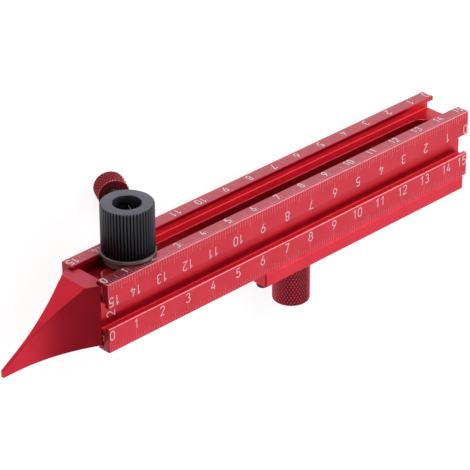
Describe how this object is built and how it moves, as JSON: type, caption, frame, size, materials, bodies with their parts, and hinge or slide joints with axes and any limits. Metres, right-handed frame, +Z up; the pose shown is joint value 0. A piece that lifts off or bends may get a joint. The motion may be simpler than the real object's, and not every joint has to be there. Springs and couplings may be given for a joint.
{
  "type": "scribing gauge",
  "caption": "Slotted aluminium scribing gauge: a scaled T-slot rule with a pointed foot, a sliding pencil holder with a clamp screw, and a sliding fence below.",
  "frame": {"origin": "middle of the bounding box, on the surface that the tool lies on", "axes": "+Z up from the surface, with the tool lying on its far side; +X along the rule towards the pointed foot; -Y the way the pencil holder points"},
  "size_m": [0.1806, 0.0616, 0.0283],
  "materials": {
    "red_anodised": "satin red anodised",
    "black_anodised": "satin black anodised",
    "grey_steel": "dull grey"
  },
  "bodies": {
    "rule": {"rail_body": "red_anodised", "scribing_foot": "red_anodised", "foot_stud": "grey_steel"},
    "carriage": {"holder_nut": "grey_steel", "holder_washer": "grey_steel"},
    "holder": {"pencil_holder": "black_anodised"},
    "clamp_screw": {"clamp_screw_head": "red_anodised", "clamp_screw_shank": "grey_steel"},
    "fence": {"fence_bar": "red_anodised", "fence_nut": "grey_steel", "fence_pin": "red_anodised"},
    "fence_screw": {"fence_knob": "red_anodised", "fence_stud": "grey_steel"}
  },
  "joints": [
    {"name": "holder_slide", "type": "slide", "parent": "rule", "child": "carriage", "axis": [-1, 0, 0], "range_m": [-0.005, 0.122]},
    {"name": "holder_turn", "type": "hinge", "parent": "carriage", "child": "holder", "pos_m": [0.04305, -0.02152, 0.01955], "axis": [0, -0.9636, 0.2673], "continuous": true},
    {"name": "clamp_turn", "type": "hinge", "parent": "holder", "child": "clamp_screw", "pos_m": [0.04305, -0.02152, 0.01955], "axis": [-0.4617, -0.2371, -0.8547], "continuous": true},
    {"name": "fence_slide", "type": "slide", "parent": "rule", "child": "fence", "axis": [-1, 0, 0], "range_m": [-0.066, 0.059]},
    {"name": "fence_screw_turn", "type": "hinge", "parent": "fence", "child": "fence_screw", "pos_m": [-0.02235, 0.01476, 0.00948], "axis": [0, -0.9636, 0.2673], "continuous": true}
  ]
}
